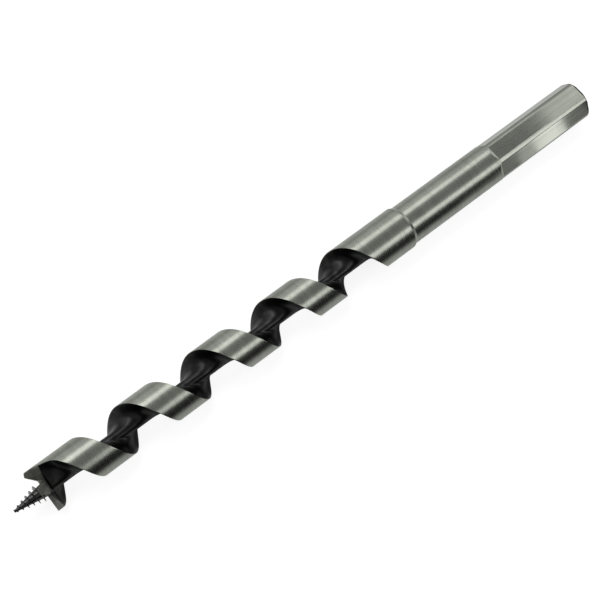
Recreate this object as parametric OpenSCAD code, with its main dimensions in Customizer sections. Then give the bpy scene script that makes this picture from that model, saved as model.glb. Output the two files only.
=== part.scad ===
// Combination auger bit: lead screw, ground head, single-flight twist, round shank and hex drive.
// The bit lies along X with its point towards -X. The origin is the middle of the shank's end face.

/* [Overall] */
// Length from the point of the screw to the end of the shank
bit_l = 200; // [180:5:300]
// Diameter of the hole that the bit cuts
bit_d = 13; // [12.5:0.5:16]
// Turn of the bit about its axis as it lies
lie_turn = 113.6; // [0:0.1:360]

/* [Lead screw] */
// Length of the screw from its point to the boss
screw_l = 8.2; // [6.6:0.1:10.6]
// Diameter over the thread at the boss
screw_d = 5.6; // [4.6:0.1:6]
// Diameter under the thread at the boss
screw_root_d = 3.5; // [2.8:0.1:3.7]
// Rise of the thread in one turn
screw_pitch = 1.44; // [1.2:0.02:2.4]
// Size of the screw's point as a share of its foot
screw_point = 0.18; // [0.1:0.02:0.4]
// Angle from the middle of the thread to its foot
thread_foot = 54; // [40:2:90]
// Angle from the middle of the thread to the edge of its crest
thread_crest = 12; // [6:2:30]

/* [Head] */
// Length of the head, from the foot of the screw to the twist
head_l = 2.9; // [2.6:0.1:4.4]
// Diameter of the boss behind the screw
boss_d = 3.8; // [3.7:0.1:4.4]
// Distance of the ground flat on the boss and the screw's foot from the axis, at the cutting edge
boss_flat = 1.2; // [0.9:0.05:1.5]
// Slope of that flat towards the axis
boss_slope = 15; // [12:1:18]
// Length of the boss's cone
boss_cone = 1.3; // [1.1:0.1:2]
// Setback of the cutting edge from the foot of the screw
lip_setback = 0.73; // [0.4:0.01:1]
// Clearance angle behind the cutting edge
lip_relief = 10; // [4:1:12]
// Rake angle of the face above the cutting edge
lip_rake = 20; // [5:1:30]
// Reach of the spur's point ahead of the cutting edge
spur_reach = 2.08; // [1.5:0.02:2.6]
// Setback of the spur's root behind the cutting edge
spur_root = 0.42; // [0:0.02:0.6]
// Depth of the spur's point inside the rim
spur_inset = 1.17; // [0.8:0.01:1.6]
// Depth of the spur's wing, from the rim to its root
spur_wing = 3.7; // [2.5:0.1:4]
// Angle from the spur's point to the trailing end of its rim
spur_arc = 23; // [18:1:34]
// Angle that the spur's rim turns in one millimetre behind it, before the helix takes over
rim_turn = 4.5; // [2:0.5:8]

/* [Twist] */
// Rise of the flight in one turn
pitch = 24.25; // [20:0.25:34]
// Width of the land along the axis
land_w = 9.48; // [8:0.02:11]
// Diameter of the solid core
core_d = 3.3; // [2.8:0.1:3.8]
// Length of the hollow under the land's leading edge
lead_hollow = 7; // [5.6:0.1:8.4]
// Length of the hollow under the land's trailing edge
trail_hollow = 2.64; // [2:0.02:2.8]
// Distance from the head to where the leading edge would pass the spur's point
lead_lag = 1; // [0:0.05:2]
// Length of the twist, with the run-out of its flute
twist_l = 110.9; // [90:0.1:115]
// Length of the flute's run-out
runout_l = 16; // [10:0.5:20]

/* [Shank] */
// Length of the plain collar behind the flute
collar_l = 9.85; // [6:0.05:12]
// Length of the taper from the collar to the shank
collar_taper = 1.05; // [0.5:0.05:2]
// Diameter of the round shank
shank_d = 12; // [11.8:0.1:12.4]
// Width of the hexagon across its flats
hex_af = 11; // [10.6:0.1:11.2]
// Length of the hexagon
hex_l = 34.6; // [25:0.1:38]
// Length of the ramp from the round shank down to each flat
flat_runout = 0.5; // [0.3:0.05:2]
// Angle from the spur's point to the middle of the first flat
hex_turn = 13.5; // [0:0.5:60]
// Chamfer on the end of the shank
end_chamfer = 0.35; // [0.2:0.05:1]

/* [Hidden] */
$fn = 96;

bit_r = bit_d / 2;
boss_r = boss_d / 2;
shank_r = shank_d / 2;
big = 2 * bit_d;

// Stations along the axis, measured from the point of the screw
boss_z = screw_l;
lip_z = boss_z + lip_setback;
spur_z = lip_z - spur_reach;
spur_root_z = lip_z + spur_root;
twist_z = boss_z + head_l;
collar_z = twist_z + twist_l;
runout_z = collar_z - runout_l;
shank_z = collar_z + collar_l;
hex_z = bit_l - hex_l;

// Heights of the spur's corners over the axis, and how far its blunted nose runs back
spur_tip_h = bit_r - spur_inset;
spur_root_h = bit_r - spur_wing;
nose_h = bit_r - 0.4 * spur_inset;
nose_l = 0.3;
over_h = bit_r + 0.5 * spur_inset;
over_l = 1.1;
// Slopes of the spur's ground sides: the throat side leans in towards the axis
face_lean = 0.55;
face_end = bit_r * [cos(spur_arc), sin(spur_arc)];
face_rise = (face_end.y + face_lean * (spur_tip_h - face_end.x)) / (twist_z - spur_z);
far_rise = 1.1;

// Angles of the flight round the axis, where the helix turns one degree in degree_l
degree_l = pitch / 360;
land_a = land_w / degree_l;
flute_a = 360 - land_a;
lead_hollow_a = lead_hollow / degree_l;
trail_hollow_a = trail_hollow / degree_l;
flute_depth = bit_r - core_d / 2;
// How steeply each hollow leaves its edge before it runs out on the core
lead_ease = 2;
trail_ease = 1.3;
// The flight starts at the lip's back corner, undercut, and takes its even shape in this length
lip_back_a = asin((twist_z - lip_z) * tan(lip_rake) / bit_r) - 180;
lip_under_a = 20;
lip_blend_l = pitch / 4;
// Angle over which the spur's rim runs softly into the helix
spur_blend = 3;
// The run-out's last turn, how long its floor keeps the full depth, and how far it widens at first
runout_end = 89;
runout_floor = 1.5;
runout_scoop = 20;
scoop_turn = 30;

// Points on each stretch of the flight's section
land_steps = 20;
lead_steps = 8;
core_steps = 5;
trail_steps = 7;
// Sections of the flight are two of the land's steps apart, so that its strips run along the axis
section_l = 2 * land_w / land_steps;
runout_steps = 16;
thread_root_steps = 9;
thread_turn = 24;

steel = [0.72, 0.72, 0.69];
ground = [0.52, 0.52, 0.49];
oxide = [0.13, 0.13, 0.14];

// Puts a piece that stands on the bit's axis, with the spur along X, into its lying place
module lie() {
    translate([-bit_l, 0, 0]) rotate([lie_turn, 0, 0]) rotate([0, 90, 0]) children();
}

// All the space behind a plane through point p with outward direction n
module behind(n, p) {
    translate(p) rotate([0, acos(n.z / norm(n)), atan2(n.y, n.x)])
        translate([-big, -big, -2 * big]) cube(2 * big);
}

// A closed skin over a list of sections that have the same number of points
module skin(sections) {
    rows = len(sections);
    count = len(sections[0]);
    sides = [
        for (i = [0:rows - 2], j = [0:count - 1])
            let (a = i * count + j, b = i * count + (j + 1) % count)
            each [[a, a + count, b], [b, a + count, b + count]]
    ];
    ends = [[for (j = [0:count - 1]) j], [for (j = [count - 1:-1:0]) (rows - 1) * count + j]];
    polyhedron([for (s = sections) each s], concat(sides, ends), convexity = 10);
}

// Section of the screw at station z: a round root with one thin thread standing out of it
function thread_r(a) =
    let (share = (thread_foot - abs(a)) / (thread_foot - thread_crest))
    (screw_root_d + (screw_d - screw_root_d) * min(1, max(0, share))) / 2;

function screw_section(z) =
    let (root_a = (360 - 2 * thread_foot) / (thread_root_steps + 1))
    let (size = screw_point + (1 - screw_point) * z / screw_l, turn = 360 * z / screw_pitch)
    let (angles = concat([-thread_foot, -thread_crest, thread_crest],
                         [for (k = [0:thread_root_steps]) thread_foot + k * root_a]))
    [for (a = angles)
        let (r = size * thread_r(a > 180 ? a - 360 : a)) [r * cos(turn + a), r * sin(turn + a), z]];

// The space behind the flat that is ground on the boss and the foot of the screw
module under_flat() {
    behind([0, cos(boss_slope), sin(boss_slope)], [0, boss_flat, lip_z]);
}

module lead_screw() {
    rows = ceil(360 * screw_l / screw_pitch / thread_turn);
    color(oxide) lie() intersection() {
        skin([for (k = [0:rows]) screw_section(screw_l * k / rows)]);
        under_flat();
    }
}

module screw_boss() {
    color(ground) lie() intersection() {
        translate([0, 0, boss_z]) rotate_extrude() polygon([
            [0, 0], [screw_root_d / 2, 0], [boss_r, boss_cone], [boss_r, head_l], [0, head_l]
        ]);
        under_flat();
    }
}

// Round blank of the head from station z back to the twist, bored for the boss
module head_blank(z) {
    translate([0, 0, z]) difference() {
        cylinder(r = bit_r, h = twist_z - z);
        translate([0, 0, -big]) cylinder(r = boss_r, h = 2 * big);
    }
}

// The space behind the head's clearance plane at station z
module clear_of(z) {
    behind([0, -sin(lip_relief), -cos(lip_relief)], [0, 0, z]);
}

module cutting_lip() {
    color(ground) lie() intersection() {
        head_blank(lip_z);
        clear_of(lip_z);
        behind([1, 0, 0], [0, 0, 0]);
        behind([0, cos(lip_rake), sin(lip_rake)], [0, 0, lip_z]);
    }
}

// Outline of the spur and its root, seen square to the axis and carried right through
module spur_outline() {
    rotate([90, 0, 0]) linear_extrude(height = 2 * big, center = true) polygon([
        [spur_tip_h, spur_z], [nose_h, spur_z + nose_l], [over_h, spur_z + over_l],
        [over_h, twist_z], [0, twist_z], [0, spur_root_z], [spur_root_h, spur_root_z]
    ]);
}

module spur_tooth() {
    intersection() {
        spur_outline();
        behind([-face_lean, 1, -face_rise], [spur_tip_h, 0, spur_z]);
        behind([0, -1, -far_rise], [0, 0, spur_z]);
    }
}

module spur_heel() {
    intersection() {
        clear_of(spur_root_z);
        behind([-1, 0, 0], [0, 0, 0]);
        behind([0, 1, 0], [0, 0, 0]);
    }
}

module scribing_spur() {
    color(ground) lie() intersection() {
        head_blank(spur_z);
        union() {
            spur_tooth();
            spur_heel();
        }
    }
}

// Angle of the helix at station z, and the angles of the land's two edges there
function helix_a(z) = (z - twist_z - lead_lag) / degree_l;
function lead_a(z) =
    let (rim = spur_arc + rim_turn * (z - twist_z), half = (helix_a(z) - rim) / 2)
    rim + half + sqrt(half * half + spur_blend * spur_blend);
function lip_blend(z) = max(0, 1 - (z - twist_z) / lip_blend_l);
function trail_a(z) =
    helix_a(z) - land_a + (lip_back_a - helix_a(twist_z) + land_a) * lip_blend(z);

// The trailing side's hollow, which starts as the lip's undercut
function under_a(z) = trail_hollow_a - (trail_hollow_a + lip_under_a) * lip_blend(z);

// Section of the flight at station z: the land, then the flute from the leading edge round.
// The flute is gap degrees wide, and full is the share of its full size.
function flight_section(z, gap, full) =
    let (lead = lead_a(z), depth = flute_depth * min(1, runout_floor * full))
    let (lead_h = lead_hollow_a * full, trail_h = under_a(z) * full)
    let (core = gap - lead_h - trail_h)
    let (polar = concat(
        [for (k = [0:land_steps - 1]) [bit_r, gap - 360 + (360 - gap) * k / land_steps]],
        [for (k = [0:lead_steps - 1]) let (u = 90 * k / lead_steps)
            [bit_r - depth * sin(u), lead_h * pow(1 - cos(u), lead_ease)]],
        [for (k = [0:core_steps - 1]) [bit_r - depth, lead_h + core * k / core_steps]],
        [for (k = [0:trail_steps - 1]) let (u = 90 - 90 * k / trail_steps)
            [bit_r - depth * sin(u), gap - trail_h * pow(1 - cos(u), trail_ease)]]
    ))
    [for (p = polar) [p[0] * cos(lead + p[1]), p[0] * sin(lead + p[1]), z]];

module twist() {
    rows = round((runout_z - twist_z) / section_l) - 1;
    even = [
        for (k = [0:rows])
            let (z = twist_z + section_l * k)
            flight_section(z, 360 + trail_a(z) - lead_a(z), 1)
    ];
    runout = [
        for (k = [0:runout_steps])
            let (u = runout_end * k / runout_steps)
            let (gap = flute_a * cos(u) + runout_scoop * sin(180 * min(1, u / scoop_turn)))
            flight_section(runout_z + runout_l * sin(u) / sin(runout_end), gap, cos(u))
    ];
    color(oxide) lie() skin(concat(even, runout));
}

module shank_collar() {
    color(steel) lie() translate([0, 0, collar_z]) rotate_extrude() polygon([
        [0, 0], [bit_r, 0], [bit_r, collar_l - collar_taper], [shank_r, collar_l], [0, collar_l]
    ]);
}

// What the crowned chamfer takes off round the end face: a ring outside a ball
module end_crown() {
    difference() {
        translate([0, 0, bit_l - 2 * end_chamfer]) cylinder(r = bit_d, h = 4 * end_chamfer);
        translate([0, 0, bit_l - shank_r]) sphere(r = norm([shank_r, shank_r - end_chamfer]));
    }
}

// What the six ramps take off the end of the round shank
module ramps() {
    drop = shank_r - hex_af / 2;
    for (k = [0:5]) rotate([90, 0, 60 * k]) translate([hex_af / 2, hex_z, 0])
        linear_extrude(height = 2 * big, center = true)
            polygon([[-drop, flat_runout], [4 * drop, -4 * flat_runout], [4 * drop, flat_runout]]);
}

module round_shank() {
    color(steel) lie() rotate([0, 0, hex_turn]) difference() {
        translate([0, 0, shank_z]) rotate([0, 0, 30]) cylinder(r = shank_r, h = hex_z - shank_z);
        ramps();
    }
}

module hex_drive() {
    color(steel) lie() rotate([0, 0, hex_turn + 30]) difference() {
        translate([0, 0, hex_z]) intersection() {
            cylinder(r = shank_r, h = hex_l);
            cylinder(r = hex_af / 2 / cos(30), h = hex_l, $fn = 6);
        }
        end_crown();
    }
}

lead_screw();
screw_boss();
cutting_lip();
scribing_spur();
twist();
shank_collar();
round_shank();
hex_drive();
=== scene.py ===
"""Studio scene of a combination auger bit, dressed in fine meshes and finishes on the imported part's frame.

The bit's sizes are in millimetres, the studio's in metres, and angles in degrees.
"""

import logging
import math
from abc import ABC, abstractmethod
from dataclasses import dataclass
from enum import Enum
from typing import Callable, Iterable, Sequence, Union

import bmesh
import bpy
from bmesh.types import BMEdge, BMesh, BMLayerItem, BMVert
from bpy.types import Material, Node, NodeSocket, NodeTree, Object
from mathutils import Matrix, Vector


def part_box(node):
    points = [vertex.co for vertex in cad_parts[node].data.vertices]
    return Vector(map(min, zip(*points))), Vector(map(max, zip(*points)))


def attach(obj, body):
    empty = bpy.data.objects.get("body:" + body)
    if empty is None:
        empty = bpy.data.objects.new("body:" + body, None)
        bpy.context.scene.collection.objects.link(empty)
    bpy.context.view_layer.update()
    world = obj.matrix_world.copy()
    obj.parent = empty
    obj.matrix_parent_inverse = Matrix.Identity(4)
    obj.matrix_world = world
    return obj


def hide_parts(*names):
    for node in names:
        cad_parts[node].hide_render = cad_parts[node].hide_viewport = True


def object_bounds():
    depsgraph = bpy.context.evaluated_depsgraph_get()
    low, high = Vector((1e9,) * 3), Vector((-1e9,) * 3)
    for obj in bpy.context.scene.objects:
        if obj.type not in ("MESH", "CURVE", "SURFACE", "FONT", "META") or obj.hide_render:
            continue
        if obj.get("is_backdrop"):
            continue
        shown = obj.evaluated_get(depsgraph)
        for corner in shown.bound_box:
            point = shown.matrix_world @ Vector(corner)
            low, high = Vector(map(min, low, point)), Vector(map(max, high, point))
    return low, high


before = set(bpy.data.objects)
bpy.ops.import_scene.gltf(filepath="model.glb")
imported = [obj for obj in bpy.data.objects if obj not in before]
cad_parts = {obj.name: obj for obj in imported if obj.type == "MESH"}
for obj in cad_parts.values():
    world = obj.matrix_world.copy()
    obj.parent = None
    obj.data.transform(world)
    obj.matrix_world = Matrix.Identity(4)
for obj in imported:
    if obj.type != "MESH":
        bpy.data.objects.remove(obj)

LOG = logging.getLogger("auger_bit")
MM = 0.001
# The station of the cutting lip's edge, at which the boss's flat is measured too.
LIP_Z = 8.93
# Points closer than this are one: in millimetres on a new mesh, and in metres on a CAD node's.
MERGE = 1e-5
NODE_MERGE = 1e-6

Colour = tuple[float, float, float]
Points = Sequence[tuple[float, float]]
Value = Union[float, tuple, NodeSocket]
Inputs = dict[Union[str, int], Value]


class Slot(Enum):
    """Names of the record's material slots."""

    OXIDE = "black_oxide"
    HEAD = "ground_head"
    BRIGHT = "bright_steel"


@dataclass(frozen=True)
class Stations:
    """Places along the axis in millimetres from the point of the screw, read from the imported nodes."""

    length: float
    screw_end: float
    twist_start: float
    collar_start: float
    shank_start: float
    hex_start: float
    bit_r: float
    shank_r: float

    @classmethod
    def from_frame(cls) -> "Stations":
        """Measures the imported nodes.

        Returns:
            The stations and radii of the bit.
        """
        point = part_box("lead_screw")[0].x

        def start(node: str) -> float:
            """The station at which a node starts."""
            return (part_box(node)[0].x - point) / MM

        def radius(node: str) -> float:
            """The outer radius of a round node."""
            low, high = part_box(node)
            return (high.y - low.y) / 2 / MM

        return cls(
            length=-point / MM,
            screw_end=start("screw_boss"),
            twist_start=start("twist"),
            collar_start=start("shank_collar"),
            shank_start=start("round_shank"),
            hex_start=start("hex_drive"),
            bit_r=radius("shank_collar"),
            shank_r=radius("round_shank"),
        )


@dataclass(frozen=True)
class Lie:
    """How the bit lies: its axis on X, turned so that the spur points up and away from the camera."""

    length: float
    turn: float = 113.6

    def matrix(self) -> Matrix:
        """The placing of a piece that stands on the axis in millimetres, with the spur along X.

        Returns:
            A matrix into the row frame, in metres.
        """
        stand = Matrix.Rotation(math.radians(self.turn), 4, "X") @ Matrix.Rotation(math.radians(90), 4, "Y")
        return Matrix.Translation((-self.length * MM, 0, 0)) @ stand @ Matrix.Scale(MM, 4)


class Graph:
    """A shader node tree, with short calls that add nodes and join them."""

    def __init__(self, tree: NodeTree) -> None:
        """Takes the tree that nodes are added to."""
        self.tree = tree

    def add(self, kind: str, inputs: Inputs, **settings: object) -> Node:
        """Adds a node.

        Args:
            kind: The node's type name.
            inputs: Values or sockets for the node's inputs, by name or number.
            settings: Attributes to set on the node first.

        Returns:
            The new node.
        """
        node = self.tree.nodes.new(kind)
        for name, value in settings.items():
            setattr(node, name, value)
        self.feed(node, inputs)
        return node

    def feed(self, node: Node, inputs: Inputs) -> None:
        """Sets a node's inputs to values, and joins sockets to them.

        Args:
            node: The node.
            inputs: Values or sockets for its inputs, by name or number.
        """
        for name, value in inputs.items():
            if isinstance(value, NodeSocket):
                self.tree.links.new(value, node.inputs[name])
            else:
                node.inputs[name].default_value = value

    def math(self, operation: str, a: Value, b: Value = 0.0) -> NodeSocket:
        """The result of a Math node on two values."""
        return self.add("ShaderNodeMath", {0: a, 1: b}, operation=operation).outputs[0]

    def step(self, value: Value, low: float, high: float) -> NodeSocket:
        """A mask that rises softly from 0 at low to 1 at high."""
        inputs = {"Value": value, "From Min": low, "From Max": high}
        return self.add("ShaderNodeMapRange", inputs, interpolation_type="SMOOTHSTEP").outputs[0]

    def span(self, value: Value, low: Value, high: Value) -> NodeSocket:
        """A value from low to high, as the given one goes from 0 to 1."""
        return self.add("ShaderNodeMapRange", {"Value": value, "To Min": low, "To Max": high}).outputs[0]

    def mix(self, factor: Value, a: Value, b: Value) -> NodeSocket:
        """A colour mixed from a to b."""
        # A Mix node has its colours at inputs 6 and 7 and at output 2.
        return self.add("ShaderNodeMix", {0: factor, 6: a, 7: b}, data_type="RGBA").outputs[2]

    def noise(self, where: Value, scale: Value, detail: float) -> NodeSocket:
        """The height of a noise pattern at a point."""
        inputs = {"Vector": where, "Scale": scale, "Detail": detail}
        return self.add("ShaderNodeTexNoise", inputs).outputs[0]

    def group(self, tree: NodeTree, inputs: Inputs) -> Node:
        """Places a node group with its own input values."""
        return self.add("ShaderNodeGroup", inputs, node_tree=tree)

    def curve(self, value: Value, low: float, high: float, points: Points) -> NodeSocket:
        """A value drawn as a line through points.

        Args:
            value: The value that the line is read at.
            low: The value at the line's start.
            high: The value at the line's end.
            points: The line's points, each from 0 to 1 along and up.

        Returns:
            The line's height, from 0 to 1.
        """
        inputs = {"Value": value, "From Min": low, "From Max": high}
        share = self.add("ShaderNodeMapRange", inputs).outputs[0]
        node = self.add("ShaderNodeFloatCurve", {"Value": share})
        line = node.mapping.curves[0]
        for _ in points[2:]:
            line.points.new(0.5, 0.5)
        for point, place in zip(line.points, points):
            point.location = place
            point.handle_type = "VECTOR"
        node.mapping.update()
        return node.outputs[0]


def new_material(name: str) -> tuple[Material, Graph]:
    """Starts a material.

    Args:
        name: The material's name.

    Returns:
        The material and its graph, which is empty.
    """
    material = bpy.data.materials.new(name)
    material.use_nodes = True
    material.node_tree.nodes.clear()
    return material, Graph(material.node_tree)


def new_group(name: str, inputs: dict[str, str], outputs: dict[str, str]) -> tuple[Graph, dict, Node]:
    """Starts a shader node group.

    Args:
        name: The group's name.
        inputs: Input names, each with its socket type.
        outputs: Output names, each with its socket type.

    Returns:
        The group's graph, its input sockets by name and its output node.
    """
    tree = bpy.data.node_groups.new(name, "ShaderNodeTree")
    for in_out, sockets in (("INPUT", inputs), ("OUTPUT", outputs)):
        for socket, kind in sockets.items():
            tree.interface.new_socket(socket, in_out=in_out, socket_type=kind)
    graph = Graph(tree)
    source = graph.add("NodeGroupInput", {})
    return graph, {socket: source.outputs[socket] for socket in inputs}, graph.add("NodeGroupOutput", {})


@dataclass
class Effects:
    """The shader effects that the finishes share, each built once."""

    lie: Lie
    # The scales of the broad tone and of the specks, and where the clouds' mask starts and is full.
    broad_scale: float = 0.22
    speck_scale: float = 5200.0
    cloud_low: float = 0.35
    cloud_high: float = 0.68

    def __post_init__(self) -> None:
        """Builds the node groups."""
        self.place = self._place()
        self.grain = self._grain()
        self.patina = self._patina()

    def _place(self) -> NodeTree:
        """Builds the effect that says where a point is on the bit.

        Returns:
            The group, with the station, the offsets to the spur and to the boss's flat, and the radius.
        """
        names = ("Station", "Spur side", "Flat side", "Radius")
        graph, given, out = new_group(
            "Place on the bit", {"Vector": "NodeSocketVector"}, {name: "NodeSocketFloat" for name in names}
        )
        turned = graph.add(
            "ShaderNodeMapping",
            {
                "Vector": given["Vector"],
                "Location": (self.lie.length, 0, 0),
                "Rotation": (math.radians(90 - self.lie.turn), 0, 0),
                "Scale": (1 / MM, 1 / MM, 1 / MM),
            },
        )
        axes = graph.add("ShaderNodeSeparateXYZ", {0: turned.outputs[0]})
        spur_square, flat_square = (graph.math("POWER", axes.outputs[k], 2.0) for k in (1, 2))
        radius = graph.math("SQRT", graph.math("ADD", spur_square, flat_square))
        graph.feed(out, dict(zip(names, (*axes.outputs, radius))))
        return graph.tree

    def _grain(self) -> NodeTree:
        """Builds the effect of fine scratches that are drawn out along one way.

        Returns:
            The group, with the scratches' height and a broader tone.
        """
        graph, given, out = new_group(
            "Grinding grain",
            {"Vector": "NodeSocketVector", "Stretch": "NodeSocketVector"},
            {"Height": "NodeSocketFloat", "Tone": "NodeSocketFloat"},
        )
        pair = {0: given["Vector"], 1: given["Stretch"]}
        stretched = graph.add("ShaderNodeVectorMath", pair, operation="MULTIPLY").outputs[0]
        fine = graph.noise(stretched, 1.0, detail=3.0)
        broad = graph.noise(stretched, self.broad_scale, detail=2.0)
        graph.feed(out, {"Height": fine, "Tone": broad})
        return graph.tree

    def _patina(self) -> NodeTree:
        """Builds the effect of cloudy variation on a metal surface.

        Returns:
            The group, with a soft mask of the clouds and the height of fine specks.
        """
        graph, given, out = new_group(
            "Patina",
            {"Vector": "NodeSocketVector", "Cloud": "NodeSocketFloat"},
            {"Mask": "NodeSocketFloat", "Specks": "NodeSocketFloat"},
        )
        clouds = graph.noise(given["Vector"], given["Cloud"], detail=4.0)
        specks = graph.noise(given["Vector"], self.speck_scale, detail=2.0)
        graph.feed(out, {"Mask": graph.step(clouds, self.cloud_low, self.cloud_high), "Specks": specks})
        return graph.tree


class Way(Enum):
    """Ways that the scratches of a ground face run, as the noise's stretch in each direction."""

    ROUND = (4200.0, 260.0, 260.0)
    LENGTHWISE = (160.0, 4200.0, 4200.0)


@dataclass(frozen=True)
class Finish(ABC):
    """A metal finish that varies between two colours and two roughnesses, with fine marks of some depth."""

    dark: Colour
    light: Colour
    smooth: float
    rough: float
    depth: float
    # The scale of the clouds, and a factor on the two colours.
    cloud: float
    shade: float = 1.0

    @abstractmethod
    def marks(self, graph: Graph, effects: Effects, where: NodeSocket) -> tuple[NodeSocket, NodeSocket]:
        """Works out the marks at a point.

        Args:
            graph: The material's graph.
            effects: The shared effects.
            where: The point, in object coordinates.

        Returns:
            The share of the light colour and the height of the marks.
        """

    def toned(self, colour: Colour) -> tuple[float, ...]:
        """A colour in the finish's shade, with full cover."""
        return (*(part * self.shade for part in colour), 1.0)

    def paint(self, graph: Graph, effects: Effects, where: NodeSocket) -> dict[str, NodeSocket]:
        """Works out the finish at a point.

        Args:
            graph: The material's graph.
            effects: The shared effects.
            where: The point, in object coordinates.

        Returns:
            The colour, roughness and height there.
        """
        tone, height = self.marks(graph, effects, where)
        return {
            "Base Color": graph.mix(tone, self.toned(self.dark), self.toned(self.light)),
            "Roughness": graph.span(height, self.smooth, self.rough),
            "Height": height,
        }


@dataclass(frozen=True)
class BrightSteel(Finish):
    """Bare ground steel, faintly warm, with scratches that run one way."""

    dark: Colour = (0.3, 0.313, 0.276)
    light: Colour = (0.477, 0.497, 0.4385)
    smooth: float = 0.225
    rough: float = 0.325
    depth: float = 0.12
    cloud: float = 140.0
    cloud_share: float = 0.25
    way: Way = Way.ROUND

    def marks(self, graph: Graph, effects: Effects, where: NodeSocket) -> tuple[NodeSocket, NodeSocket]:
        """Scratches, with a little of the clouds in their tone."""
        grain = graph.group(effects.grain, {"Vector": where, "Stretch": self.way.value}).outputs
        patina = graph.group(effects.patina, {"Vector": where, "Cloud": self.cloud}).outputs
        clouds = graph.math("MULTIPLY", patina["Mask"], self.cloud_share)
        return graph.math("ADD", grain["Tone"], clouds), grain["Height"]


@dataclass(frozen=True)
class BlackOxide(Finish):
    """Satin black scale left in the flutes, with cloudy wear."""

    dark: Colour = (0.028, 0.0285, 0.028)
    light: Colour = (0.052, 0.053, 0.052)
    smooth: float = 0.27
    rough: float = 0.38
    depth: float = 0.1
    cloud: float = 420.0

    def marks(self, graph: Graph, effects: Effects, where: NodeSocket) -> tuple[NodeSocket, NodeSocket]:
        """Clouds, and specks in them."""
        patina = graph.group(effects.patina, {"Vector": where, "Cloud": self.cloud}).outputs
        return patina["Mask"], patina["Specks"]


@dataclass(frozen=True)
class GroundHead(Finish):
    """Grey ground faces of the head, duller than the shank."""

    dark: Colour = (0.136, 0.14, 0.125)
    light: Colour = (0.216, 0.222, 0.197)
    smooth: float = 0.38
    rough: float = 0.52
    depth: float = 0.12
    cloud: float = 600.0

    def marks(self, graph: Graph, effects: Effects, where: NodeSocket) -> tuple[NodeSocket, NodeSocket]:
        """Clouds, and scratches along the bit."""
        grain = graph.group(effects.grain, {"Vector": where, "Stretch": Way.LENGTHWISE.value}).outputs
        patina = graph.group(effects.patina, {"Vector": where, "Cloud": self.cloud}).outputs
        return patina["Mask"], grain["Height"]


class Zone(ABC):
    """A part of the surface that has a finish of its own."""

    @abstractmethod
    def mask(self, graph: Graph, place: Node) -> NodeSocket:
        """Works out how far a point is inside the zone.

        Args:
            graph: The material's graph.
            place: The effect that says where the point is on the bit.

        Returns:
            A mask that rises to 1 in the zone.
        """


@dataclass(frozen=True)
class GroundRim(Zone):
    """The bright outer face that is ground to the bit's radius, from behind the spur's point."""

    bit_r: float
    inner: float = 0.16
    outer: float = 0.05
    start: float = 10.2
    full: float = 11.5

    def mask(self, graph: Graph, place: Node) -> NodeSocket:
        """Rises to 1 at the bit's radius and on its rounded edges, behind the start."""
        rim = graph.step(place.outputs["Radius"], self.bit_r - self.inner, self.bit_r - self.outer)
        return graph.math("MULTIPLY", rim, graph.step(place.outputs["Station"], self.start, self.full))


@dataclass(frozen=True)
class PaintedDarkEndRim(Zone):
    """The crowned rim of the shank's end, painted black: a painted dark reflection."""

    length: float
    width: float = 0.5
    soft: float = 0.06

    def mask(self, graph: Graph, place: Node) -> NodeSocket:
        """Rises to 1 on the rim."""
        start = self.length - self.width
        return graph.step(place.outputs["Station"], start, start + self.soft)


@dataclass(frozen=True)
class FootFlat(Zone):
    """The flat that is ground on the boss and on the foot of the screw."""

    station: float = LIP_Z
    height: float = 1.2
    slope: float = 15.0
    depth: float = 0.03
    start: float = 7.5
    soft: float = 0.1

    def point(self) -> Vector:
        """A point on the flat, on the standing bit."""
        return Vector((0.0, self.height, self.station))

    def outward(self) -> Vector:
        """The direction that the flat faces, on the standing bit."""
        slope = math.radians(self.slope)
        return Vector((0.0, math.cos(slope), math.sin(slope)))

    def mask(self, graph: Graph, place: Node) -> NodeSocket:
        """Rises to 1 on the flat, behind its start."""
        out = self.outward()
        aside = graph.math("MULTIPLY", place.outputs["Flat side"], out.y)
        along = graph.math("MULTIPLY", place.outputs["Station"], out.z)
        plane = out.dot(self.point())
        ground = graph.step(graph.math("ADD", aside, along), plane - self.depth, plane - self.depth / 2)
        behind = graph.step(place.outputs["Station"], self.start, self.start + self.soft)
        return graph.math("MULTIPLY", ground, behind)


@dataclass(frozen=True)
class Throat(Zone):
    """The black throat, which starts where the grinding of the head's front ends."""

    spur_span: float = 6.5
    first: float = 9.6
    last: float = 11.6
    soft: float = 0.08
    line: Points = ((0.0, 0.77), (0.36, 0.1), (0.385, 0.2), (0.5, 0.55), (0.654, 0.6), (1.0, 0.8))

    def mask(self, graph: Graph, place: Node) -> NodeSocket:
        """Rises to 1 behind the line across the head."""
        height = graph.curve(place.outputs["Spur side"], -self.spur_span, self.spur_span, self.line)
        edge = graph.span(height, self.first, self.last)
        return graph.step(graph.math("SUBTRACT", place.outputs["Station"], edge), -self.soft, self.soft)


@dataclass(frozen=True)
class LipBack(Zone):
    """The start of the flight behind the cutting lip, where a paler grey finish covers the black."""

    near: float = 13.0
    far: float = 16.0
    inner: float = -0.5
    outer: float = -2.0

    def mask(self, graph: Graph, place: Node) -> NodeSocket:
        """Falls from 1 along the bit, on the lip's side."""
        ahead = graph.step(place.outputs["Station"], self.far, self.near)
        return graph.math("MULTIPLY", ahead, graph.step(place.outputs["Spur side"], self.inner, self.outer))


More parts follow.
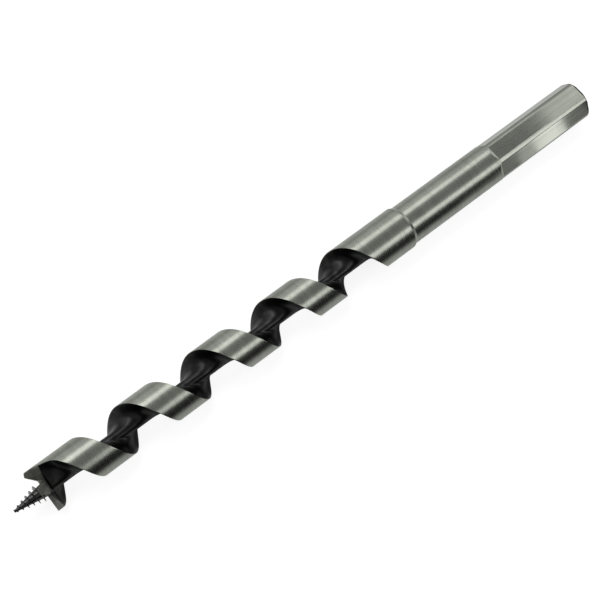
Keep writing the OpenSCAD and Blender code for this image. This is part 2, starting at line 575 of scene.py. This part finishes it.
@dataclass
class Paint:
    """Makes the materials of the bit from its finishes."""

    effects: Effects
    mark_height: float = 0.02 * MM

    def make(self, name: str, base: Finish, covers: Iterable[tuple[Finish, Zone]] = ()) -> Material:
        """Builds a material with one metal shader that the finishes feed.

        Args:
            name: The material's name.
            base: The finish under the others.
            covers: More finishes, each with the zone that it covers.

        Returns:
            The new material.
        """
        material, graph = new_material(name)
        where = graph.add("ShaderNodeTexCoord", {}).outputs["Object"]
        place = graph.group(self.effects.place, {"Vector": where})
        surface = base.paint(graph, self.effects, where)
        for finish, zone in covers:
            cover = zone.mask(graph, place)
            over = finish.paint(graph, self.effects, where)
            surface = {
                "Base Color": graph.mix(cover, surface["Base Color"], over["Base Color"]),
                "Roughness": graph.span(cover, surface["Roughness"], over["Roughness"]),
                "Height": graph.span(cover, surface["Height"], over["Height"]),
            }
        bump = graph.add(
            "ShaderNodeBump",
            {"Height": surface["Height"], "Strength": base.depth, "Distance": self.mark_height},
        )
        shader = graph.add(
            "ShaderNodeBsdfPrincipled",
            {
                "Base Color": surface["Base Color"],
                "Roughness": surface["Roughness"],
                "Metallic": 1.0,
                "Normal": bump.outputs[0],
            },
        )
        graph.add("ShaderNodeOutputMaterial", {"Surface": shader.outputs[0]})
        return material


def finish_piece(bm: BMesh, name: str, material: Material, slot: Slot, soft: float = 32.0) -> Object:
    """Turns a mesh in the row frame into a piece that stands for its CAD node.

    Args:
        bm: The mesh, which is freed.
        name: The CAD node's name.
        material: The piece's material.
        slot: The record's material slot, which is not used.
        soft: The angle in degrees from which an edge is shaded sharp.

    Returns:
        The new object, at the origin.
    """
    bm.normal_update()
    for face in bm.faces:
        face.smooth = True
    for edge in bm.edges:
        edge.smooth = edge.is_manifold and math.degrees(edge.calc_face_angle()) < soft
    mesh = bpy.data.meshes.new(f"{name}_fine")
    bm.to_mesh(mesh)
    bm.free()
    mesh.materials.append(material)
    piece = bpy.data.objects.new(f"{name}_fine", mesh)
    bpy.context.scene.collection.objects.link(piece)
    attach(piece, "root")
    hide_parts(name)
    LOG.info("%s: %d faces", piece.name, len(mesh.polygons))
    return piece


def loft(section: Callable[[float], list[Vector]], stations: list[float]) -> tuple[BMesh, BMLayerItem]:
    """Skins a closed section along the axis.

    The first ring is drawn out along the axis, and then each ring takes its own section.

    Args:
        section: The section at a station, always with the same number of points.
        stations: The stations of the rings, in order.

    Returns:
        The mesh, closed at both ends, and the vertex layer that holds each point's number in its section.
    """
    bm = bmesh.new()
    number = bm.verts.layers.int.new("section_point")
    row = bm.verts.layers.int.new("section_row")
    ring = [bm.verts.new((point.x, point.y, 0.0)) for point in section(stations[0])]
    for k, vert in enumerate(ring):
        vert[number] = k
    edges = [bm.edges.new((a, b)) for a, b in zip(ring, ring[1:] + ring[:1])]
    count = len(stations) - 1
    bmesh.ops.spin(bm, geom=ring + edges, axis=(0, 0, 1), angle=0.0, dvec=(0, 0, 1), steps=count)
    sections = [section(station) for station in stations]
    for vert in bm.verts:
        vert[row] = round(vert.co.z)
        vert.co = sections[vert[row]][vert[number]]
    for end in (0, count):
        rim = [edge for edge in bm.edges if all(vert[row] == end for vert in edge.verts)]
        bmesh.ops.edgeloop_fill(bm, edges=rim)
    bmesh.ops.recalc_face_normals(bm, faces=bm.faces)
    return bm, number


def revolve(outline: Points, steps: int = 192) -> BMesh:
    """Spins an outline of (radius, station) points once round the axis.

    Args:
        outline: The points, from the first end's middle to the other end's.
        steps: The number of faces round.

    Returns:
        The closed mesh.
    """
    bm = bmesh.new()
    verts = [bm.verts.new((radius, 0.0, station)) for radius, station in outline]
    edges = [bm.edges.new(pair) for pair in zip(verts, verts[1:])]
    bmesh.ops.spin(bm, geom=verts + edges, axis=(0, 0, 1), angle=math.tau, steps=steps, use_merge=True)
    bmesh.ops.remove_doubles(bm, verts=bm.verts, dist=MERGE)
    bmesh.ops.recalc_face_normals(bm, faces=bm.faces)
    return bm


def guarded(outline: Points, gap: float = 0.12) -> Points:
    """Adds a point on both sides of each corner, so that smooth shading turns only there.

    Args:
        outline: The points of (radius, station).
        gap: The distance from a corner to its added points.

    Returns:
        The outline with the added points.
    """
    points = [Vector(point) for point in outline]
    out = [points[0]]
    for a, b in zip(points, points[1:]):
        step = (b - a).normalized() * gap
        out += [a + step, b - step, b]
    return [tuple(point) for point in out]


def blunt(bm: BMesh, edges: Iterable[BMEdge], width: float, segments: int = 2) -> None:
    """Rounds edges a little.

    Args:
        bm: The mesh.
        edges: The edges to round.
        width: How far the rounding reaches from the edge.
        segments: The number of faces across it.
    """
    bmesh.ops.bevel(
        bm,
        geom=list(edges),
        offset=width,
        offset_type="OFFSET",
        segments=segments,
        profile=0.5,
        affect="EDGES",
        clamp_overlap=True,
        material=-1,
    )


def plane_cut(bm: BMesh, point: Vector, outward: Vector) -> None:
    """Cuts off what lies outside a plane and closes the cut.

    Args:
        bm: The mesh.
        point: A point on the plane.
        outward: The direction that is cut off.
    """
    everything = [*bm.verts, *bm.edges, *bm.faces]
    bmesh.ops.bisect_plane(
        bm, geom=everything, dist=MERGE, plane_co=point, plane_no=outward, clear_outer=True
    )
    bmesh.ops.holes_fill(bm, edges=[edge for edge in bm.edges if edge.is_boundary], sides=0)


def softened(
    node: str, edge_round: float = 0.07, flat_angle: float = 1.0, corner_angle: float = 25.0
) -> BMesh:
    """Copies a CAD node's mesh, joins its triangles and rounds its corners.

    Args:
        node: The CAD node's name.
        edge_round: How far a rounding reaches from its edge.
        flat_angle: The angle up to which faces are joined.
        corner_angle: The angle from which an edge is rounded.

    Returns:
        The mesh, in the row frame.
    """
    bm = bmesh.new()
    bm.from_mesh(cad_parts[node].data)
    bmesh.ops.remove_doubles(bm, verts=bm.verts, dist=NODE_MERGE)
    bmesh.ops.dissolve_limit(bm, angle_limit=math.radians(flat_angle), verts=bm.verts, edges=bm.edges)
    corner = math.radians(corner_angle)
    blunt(bm, [edge for edge in bm.edges if edge.calc_face_angle(0.0) > corner], edge_round * MM)
    return bm


@dataclass
class LeadScrew:
    """The tapered screw that draws the bit into the wood."""

    at: Stations
    outer_d: float = 5.6
    root_d: float = 3.5
    pitch: float = 1.44
    # The share of the size at the point, and half the thread's width in degrees at its foot and crest.
    point: float = 0.18
    foot: float = 54.0
    crest: float = 12.0
    flat: FootFlat = FootFlat()
    rubbed: BlackOxide = BlackOxide(smooth=0.09, rough=0.15, shade=3.0)
    round_steps: int = 48
    rows_per_turn: int = 40

    def size(self, station: float) -> float:
        """The share of the screw's full size at a station."""
        return self.point + (1 - self.point) * station / self.at.screw_end

    def section(self, station: float) -> list[Vector]:
        """The screw's section: a round root with one thin thread standing out of it.

        Args:
            station: The place along the axis.

        Returns:
            The section's points.
        """
        turn = 360 * station / self.pitch
        points = []
        for k in range(self.round_steps):
            angle = 360 * k / self.round_steps
            away = min(angle, 360 - angle)
            share = min(1.0, max(0.0, (self.foot - away) / (self.foot - self.crest)))
            eased = share * share * (3 - 2 * share)
            radius = self.size(station) * (self.root_d + (self.outer_d - self.root_d) * eased) / 2
            place = math.radians(turn + angle)
            points.append(Vector((radius * math.cos(place), radius * math.sin(place), station)))
        return points

    def build(self, lie: Lie, paint: Paint) -> Object:
        """Makes the screw.

        Args:
            lie: How the bit lies.
            paint: The maker of materials.

        Returns:
            The piece.
        """
        rows = math.ceil(self.rows_per_turn * self.at.screw_end / self.pitch)
        bm, _ = loft(self.section, [self.at.screw_end * k / rows for k in range(rows + 1)])
        plane_cut(bm, self.flat.point(), self.flat.outward())
        bmesh.ops.transform(bm, matrix=lie.matrix(), verts=bm.verts)
        material = paint.make("screw_black", self.rubbed, [(GroundHead(), self.flat)])
        return finish_piece(bm, "lead_screw", material, Slot.OXIDE)


@dataclass
class Twist:
    """The single flight on its solid core, which lifts the chips."""

    at: Stations
    pitch: float = 24.25
    land_w: float = 9.48
    core_d: float = 3.3
    # How far the flute's hollows reach along the axis, and how sharply they bend.
    lead_hollow: float = 7.0
    lead_ease: float = 2.0
    trail_hollow: float = 2.64
    trail_ease: float = 1.3
    # How far behind the twist's start the helix starts.
    lead_lag: float = 1.0
    # The run-out: the flute closes as an angle turns up to its end, and stays deep and wide at first.
    runout_l: float = 16.0
    runout_end: float = 89.0
    runout_floor: float = 1.5
    runout_scoop: float = 20.0
    scoop_turn: float = 30.0
    # The leading edge's start on the spur's rim, which turns slowly and then blends into the helix.
    spur_arc: float = 23.0
    rim_turn: float = 4.5
    spur_blend: float = 3.0
    # The trailing edge's start at the cutting lip: its station, and its rake and undercut in degrees.
    lip_z: float = LIP_Z
    lip_rake: float = 20.0
    lip_under: float = 20.0
    # The faces round the section, and the rows of faces along the axis.
    land_steps: int = 36
    lead_steps: int = 22
    core_steps: int = 14
    trail_steps: int = 18
    row_l: float = 0.26
    runout_rows: int = 64
    edge_round: float = 0.1
    lip_back_grey: GroundHead = GroundHead(shade=0.55)

    def angle(self, length: float) -> float:
        """Degrees that the helix turns in a length along the axis."""
        return 360 * length / self.pitch

    def helix(self, station: float) -> float:
        """The helix's angle at a station."""
        return self.angle(station - self.at.twist_start - self.lead_lag)

    def lead(self, station: float) -> float:
        """The angle of the land's leading edge, which runs softly out of the spur's rim.

        Args:
            station: The place along the axis.

        Returns:
            The angle in degrees.
        """
        rim = self.spur_arc + self.rim_turn * (station - self.at.twist_start)
        half = (self.helix(station) - rim) / 2
        return rim + half + math.hypot(half, self.spur_blend)

    def lip_blend(self, station: float) -> float:
        """How much of the lip's shape is left at a station, from 1 to 0 in a quarter turn."""
        return max(0.0, 1 - (station - self.at.twist_start) / (self.pitch / 4))

    def trail(self, station: float) -> float:
        """The angle of the land's trailing edge, which starts at the lip's back corner.

        Args:
            station: The place along the axis.

        Returns:
            The angle in degrees.
        """
        even = self.helix(station) - self.angle(self.land_w)
        rise = (self.at.twist_start - self.lip_z) * math.tan(math.radians(self.lip_rake))
        lip_back = math.degrees(math.asin(rise / self.at.bit_r)) - 180
        start = self.helix(self.at.twist_start) - self.angle(self.land_w)
        return even + (lip_back - start) * self.lip_blend(station)

    def section(self, station: float, gap: float, full: float) -> list[Vector]:
        """The flight's section: the land, then the flute from the leading edge round.

        Args:
            station: The place along the axis.
            gap: The flute's width in degrees.
            full: The share of the flute's full size.

        Returns:
            The section's points.
        """
        outer = self.at.bit_r
        depth = (outer - self.core_d / 2) * min(1.0, self.runout_floor * full)
        ahead = self.angle(self.lead_hollow) * full
        even_under = self.angle(self.trail_hollow)
        behind = (even_under - (even_under + self.lip_under) * self.lip_blend(station)) * full
        floor = gap - ahead - behind
        polar = [(outer, gap - 360 + (360 - gap) * k / self.land_steps) for k in range(self.land_steps)]
        for k in range(self.lead_steps):
            swing = math.pi / 2 * k / self.lead_steps
            rise = (1 - math.cos(swing)) ** self.lead_ease
            polar.append((outer - depth * math.sin(swing), ahead * rise))
        polar += [(outer - depth, ahead + floor * k / self.core_steps) for k in range(self.core_steps)]
        for k in range(self.trail_steps):
            swing = math.pi / 2 * (1 - k / self.trail_steps)
            rise = (1 - math.cos(swing)) ** self.trail_ease
            polar.append((outer - depth * math.sin(swing), gap - behind * rise))
        lead = self.lead(station)
        points = []
        for radius, angle in polar:
            turn = math.radians(lead + angle)
            points.append(Vector((radius * math.cos(turn), radius * math.sin(turn), station)))
        return points

    def section_at(self, station: float) -> list[Vector]:
        """The flight's section, closing where the flute runs out into the collar.

        Args:
            station: The place along the axis.

        Returns:
            The section's points.
        """
        runout = self.at.collar_start - self.runout_l
        if station <= runout:
            return self.section(station, 360 + self.trail(station) - self.lead(station), 1.0)
        reach = (station - runout) / self.runout_l * math.sin(math.radians(self.runout_end))
        turn = math.degrees(math.asin(reach))
        closing = math.cos(math.radians(turn))
        scoop = self.runout_scoop * math.sin(math.pi * min(1.0, turn / self.scoop_turn))
        return self.section(station, (360 - self.angle(self.land_w)) * closing + scoop, closing)

    def stations(self) -> list[float]:
        """The stations of the rings, closer where the flute runs out.

        Returns:
            The stations in order.
        """
        start = self.at.twist_start
        runout = self.at.collar_start - self.runout_l
        rows = math.ceil((runout - start) / self.row_l)
        places = [start + (runout - start) * k / rows for k in range(rows + 1)]
        full = math.sin(math.radians(self.runout_end))
        for k in range(self.runout_rows):
            turn = math.radians(self.runout_end * (k + 1) / self.runout_rows)
            places.append(runout + self.runout_l * math.sin(turn) / full)
        return places

    def build(self, lie: Lie, paint: Paint) -> Object:
        """Makes the flight.

        Args:
            lie: How the bit lies.
            paint: The maker of materials.

        Returns:
            The piece.
        """
        bm, number = loft(self.section_at, self.stations())
        corners = (0, self.land_steps)
        rims = [
            edge
            for edge in bm.edges
            if edge.verts[0][number] == edge.verts[1][number] and edge.verts[0][number] in corners
        ]
        blunt(bm, rims, self.edge_round)
        bmesh.ops.transform(bm, matrix=lie.matrix(), verts=bm.verts)
        covers = [(self.lip_back_grey, LipBack()), (BrightSteel(), GroundRim(self.at.bit_r))]
        material = paint.make("flight_steel", BlackOxide(), covers)
        return finish_piece(bm, "twist", material, Slot.OXIDE)


@dataclass(frozen=True)
class HeadPiece:
    """A CAD node of the head, with how pale its ground faces and its black throat are; a factor above 1 is
    painted light.
    """

    node: str
    ground: float = 1.0
    throat: float = 1.0


@dataclass
class Head:
    """The ground cutting end: boss, cutting lip and scribing spur."""

    at: Stations
    # The lip's and the spur's ground faces, and the lip's black throat, are made paler: painted light on
    # faces that the lamps leave darker.
    pieces: tuple[HeadPiece, ...] = (
        HeadPiece("screw_boss"),
        HeadPiece("cutting_lip", ground=1.4, throat=2.6),
        HeadPiece("scribing_spur", ground=1.95),
    )

    def build(self, paint: Paint) -> list[Object]:
        """Makes the head's pieces from the CAD nodes, with their edges rounded.

        Args:
            paint: The maker of materials.

        Returns:
            The pieces.
        """
        made = []
        for piece in self.pieces:
            # A paler throat or ground face here is painted light.
            throat = (BlackOxide(shade=piece.throat), Throat())
            rim = (BrightSteel(), GroundRim(self.at.bit_r))
            material = paint.make(f"{piece.node}_steel", GroundHead(shade=piece.ground), [throat, rim])
            made.append(finish_piece(softened(piece.node), piece.node, material, Slot.HEAD))
        return made


@dataclass
class Shank:
    """The collar, the round shank and the hexagonal drive end."""

    at: Stations
    collar_taper: float = 1.05
    hex_af: float = 11.0
    hex_turn: float = 13.5
    hex_sides: int = 6
    flat_runout: float = 1.0
    flat_sharp: float = 6.0
    drawn: BrightSteel = BrightSteel(way=Way.LENGTHWISE, smooth=0.15, rough=0.24)

    def build(self, lie: Lie, paint: Paint) -> list[Object]:
        """Makes the shank's pieces.

        Args:
            lie: How the bit lies.
            paint: The maker of materials.

        Returns:
            The pieces.
        """
        at = self.at
        ground = paint.make("shank_steel", BrightSteel())
        # The end's crowned rim is painted black oxide, a painted dark reflection.
        drawn = paint.make("hex_steel", self.drawn, [(BlackOxide(), PaintedDarkEndRim(at.length))])
        collar = [
            (0.0, at.collar_start),
            (at.bit_r, at.collar_start),
            (at.bit_r, at.shank_start - self.collar_taper),
            (at.shank_r, at.shank_start),
            (0.0, at.shank_start),
        ]
        plain = [
            (0.0, at.shank_start),
            (at.shank_r, at.shank_start),
            (at.shank_r, at.hex_start),
            (0.0, at.hex_start),
        ]
        turned = {"shank_collar": revolve(guarded(collar)), "round_shank": revolve(guarded(plain))}
        self.ramp_flats(turned["round_shank"])
        for bm in turned.values():
            bmesh.ops.transform(bm, matrix=lie.matrix(), verts=bm.verts)
        return [
            finish_piece(turned["shank_collar"], "shank_collar", ground, Slot.BRIGHT),
            finish_piece(turned["round_shank"], "round_shank", ground, Slot.BRIGHT, self.flat_sharp),
            finish_piece(softened("hex_drive"), "hex_drive", drawn, Slot.BRIGHT, self.flat_sharp),
        ]

    def ramp_flats(self, bm: BMesh) -> None:
        """Cuts the six ramps that lead from the round shank down to the hexagon's flats.

        Args:
            bm: The round shank, standing on the axis.
        """
        drop = self.at.shank_r - self.hex_af / 2
        for k in range(self.hex_sides):
            turn = math.radians(self.hex_turn + 360 * k / self.hex_sides)
            out = Vector((math.cos(turn), math.sin(turn), 0.0))
            foot = out * self.hex_af / 2 + Vector((0.0, 0.0, self.at.hex_start))
            plane_cut(bm, foot, out * self.flat_runout + Vector((0.0, 0.0, drop)))


@dataclass(frozen=True)
class Strip:
    """A long soft light beside the bit, nearly parallel to its axis.

    Its bearing is the angle round the axis: 0 is behind the bit, 90 above it and 180 in front.
    """

    name: str
    bearing: float
    width: float
    level: float
    distance: float = 0.5
    length: float = 1.4
    along: float = 0.065
    swing: float = 0.0

    def matrix(self) -> Matrix:
        """The strip's place, facing the bit's axis.

        Returns:
            The matrix, whose -Z looks at the axis and whose Y runs along it, swung a little.
        """
        around = Matrix.Rotation(math.radians(self.bearing - 90), 4, "X")
        turn = Matrix.Rotation(math.radians(90 + self.swing), 4, "Z")
        return around @ Matrix.Translation((self.along, 0, self.distance)) @ turn


@dataclass(frozen=True)
class Card:
    """A reflector or flag beside the bit, which only the metal's reflections show.

    Two of its edges run along X, and each is given by its Y and Z.
    The last one is shifted along X by the slant.
    """

    name: str
    level: float
    first: tuple[float, float]
    last: tuple[float, float]
    along: tuple[float, float] = (-0.6, 1.2)
    slant: float = 0.0

    def mesh(self) -> BMesh:
        """Draws the card's first edge and extrudes it to its last.

        Returns:
            The mesh, in the row frame.
        """
        bm = bmesh.new()
        ends = [bm.verts.new((x, *self.first)) for x in self.along]
        made = bmesh.ops.extrude_edge_only(bm, edges=[bm.edges.new(ends)])
        moved = [item for item in made["geom"] if isinstance(item, BMVert)]
        move = (self.slant, self.last[0] - self.first[0], self.last[1] - self.first[1])
        bmesh.ops.translate(bm, verts=moved, vec=move)
        return bm


@dataclass
class Studio:
    """The floor, the lights, the cards and the camera."""

    floor_z: float
    card_lift: float = 0.0005
    floor_size: float = 12.0
    floor_glow: float = 0.86
    floor_tint: float = 0.4
    world_level: float = 0.24
    # The camera, fitted to the photograph by the edges of the flight.
    eye: tuple[float, float, float] = (-0.23684, -0.15474, 0.35417)
    look: tuple[float, float, float] = (0.3216, 0.3801, -0.8673)
    lens: float = 90.15
    sensor: float = 36.0
    nearest: float = 0.01
    wall_y: float = 0.3
    strips: tuple[Strip, ...] = (
        Strip("back_light", bearing=64, width=0.2, level=1.32, swing=11),
        Strip("tip_light", bearing=61, width=0.26, level=0.42, along=-0.29, length=0.5),
        Strip("front_light", bearing=148.5, width=0.18, level=1.28, along=0.33, length=0.86, swing=-10),
        Strip("shank_light", bearing=135, width=0.05, level=0.8, along=0.22, length=0.2),
    )

    def build(self) -> None:
        """Sets the view, then makes the camera, the floor, the lights and the cards."""
        bpy.context.scene.view_settings.view_transform = "Standard"
        self.camera()
        self.world()
        self.floor()
        for strip in self.strips:
            self.light(strip)
        for card in self.cards():
            self.card(card)

    def cards(self) -> list[Card]:
        """Lays out the cards: long ones behind and in front of the bit, then short ones by the shank.

        Returns:
            The cards, each with its level and its two edges.
        """
        low, over, top = (self.floor_z + self.card_lift * k for k in (1, 2, 3))
        back, front = self.wall_y, -self.wall_y
        return [
            # The dark card under the bit is a painted shadow, which only reflections show.
            Card("floor_under", 0.06, (-0.004, low), (0.004, low)),
            Card("floor_back_near", 0.7, (0.004, low), (0.022, low)),
            Card("floor_back_far", 0.55, (0.022, low), (back, low)),
            Card("wall_back_low", 0.37, (back, low), (back, 0.11)),
            Card("wall_back_high", 0.6, (back, 0.11), (back, 0.36)),
            Card("front_flag", 0.012, (front, 0.13), (front, low)),
            Card("floor_front_far", 0.01, (front, low), (-0.038, low)),
            Card("floor_front_middle", 0.045, (-0.038, low), (-0.024, low)),
            Card("floor_front_step", 0.2, (-0.024, low), (-0.0185, low)),
            Card("floor_front_near", 0.36, (-0.0185, low), (-0.0145, low)),
            Card("floor_front_foot", 0.5, (-0.0145, low), (-0.004, low)),
            Card("floor_front_start", 0.14, (-0.02, over), (-0.06, over), (-0.0451, -0.0291), slant=0.0246),
            Card("floor_front_hex", 0.28, (-0.02, over), (-0.06, over), (-0.0291, 0.0089), slant=0.0246),
            Card("floor_front_rise", 0.7, (-0.012, top), (-0.06, top), (-0.0245, -0.0175), slant=0.0295),
            Card("floor_front_end", 1.6, (-0.012, top), (-0.06, top), (-0.0175, -0.0052), slant=0.0295),
            Card("side_end", 1.5, (0.02, 0.12), (0.2, 0.03), (0.36, 0.8)),
            Card("roof_end", 0.95, (-0.03, 0.05), (0.06, 0.05), (0.0115, 0.07)),
        ]

    def camera(self) -> None:
        """Places the camera where the photograph was taken from."""
        data = bpy.data.cameras.new("photo_camera")
        data.lens = self.lens
        data.sensor_width = self.sensor
        data.clip_start = self.nearest
        camera = bpy.data.objects.new("photo_camera", data)
        camera.location = self.eye
        camera.rotation_euler = Vector(self.look).to_track_quat("-Z", "Y").to_euler()
        bpy.context.scene.collection.objects.link(camera)
        bpy.context.scene.camera = camera

    def world(self) -> None:
        """Fills the room with even light."""
        world = bpy.data.worlds.new("room")
        world.use_nodes = True
        world.node_tree.nodes["Background"].inputs["Color"].default_value = (1.0, 1.0, 1.0, 1.0)
        world.node_tree.nodes["Background"].inputs["Strength"].default_value = self.world_level
        bpy.context.scene.world = world

    def floor(self) -> None:
        """Lays a pale floor, which the camera and the metal see as nearly white."""
        material, graph = new_material("pale_floor")
        path = graph.add("ShaderNodeLightPath", {})
        seen = graph.math("MAXIMUM", path.outputs["Is Camera Ray"], path.outputs["Is Glossy Ray"])
        seen = graph.math("MAXIMUM", seen, path.outputs["Is Transmission Ray"])
        glow = graph.add("ShaderNodeEmission", {"Strength": graph.math("MULTIPLY", seen, self.floor_glow)})
        tint = (self.floor_tint, self.floor_tint, self.floor_tint, 1.0)
        pale = graph.add("ShaderNodeBsdfDiffuse", {"Color": tint})
        both = graph.add("ShaderNodeAddShader", {0: glow.outputs[0], 1: pale.outputs[0]})
        graph.add("ShaderNodeOutputMaterial", {"Surface": both.outputs[0]})
        bm = bmesh.new()
        place = Matrix.Translation((0, 0, self.floor_z))
        bmesh.ops.create_grid(bm, x_segments=1, y_segments=1, size=self.floor_size / 2, matrix=place)
        self.sheet("floor", bm, material)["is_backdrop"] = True

    @staticmethod
    def sheet(name: str, bm: BMesh, material: Material) -> Object:
        """Makes a studio object from a mesh, which is freed.

        Args:
            name: The object's name.
            bm: The mesh.
            material: Its material.

        Returns:
            The new object.
        """
        mesh = bpy.data.meshes.new(name)
        bm.to_mesh(mesh)
        bm.free()
        mesh.materials.append(material)
        sheet = bpy.data.objects.new(name, mesh)
        bpy.context.scene.collection.objects.link(sheet)
        return sheet

    @staticmethod
    def light(strip: Strip) -> None:
        """Hangs a strip light, whose level is the brightness of its face.

        Args:
            strip: The strip's place, size and level.
        """
        data = bpy.data.lights.new(strip.name, "AREA")
        data.shape = "RECTANGLE"
        data.size = strip.width
        data.size_y = strip.length
        data.energy = strip.level * math.pi * strip.width * strip.length
        light = bpy.data.objects.new(strip.name, data)
        light.matrix_world = strip.matrix()
        light.visible_camera = False
        bpy.context.scene.collection.objects.link(light)

    def card(self, card: Card) -> None:
        """Stands a card beside the bit, which the camera doesn't see and which throws no shadow.

        Args:
            card: The card's edges and level.
        """
        material, graph = new_material(card.name)
        face = graph.add("ShaderNodeEmission", {"Strength": card.level})
        graph.add("ShaderNodeOutputMaterial", {"Surface": face.outputs[0]})
        sheet = self.sheet(card.name, card.mesh(), material)
        sheet.visible_camera = False
        sheet.visible_diffuse = False
        sheet.visible_transmission = False
        sheet.visible_shadow = False
        sheet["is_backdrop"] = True


def main() -> None:
    """Builds the bit and its studio."""
    logging.basicConfig(level=logging.INFO, format="%(name)s: %(message)s")
    cad_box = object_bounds()
    at = Stations.from_frame()
    lie = Lie(at.length)
    paint = Paint(Effects(lie))
    LeadScrew(at).build(lie, paint)
    Head(at).build(paint)
    Twist(at).build(lie, paint)
    Shank(at).build(lie, paint)
    Studio(floor_z=cad_box[0].z).build()


if __name__ == "__main__":
    main()
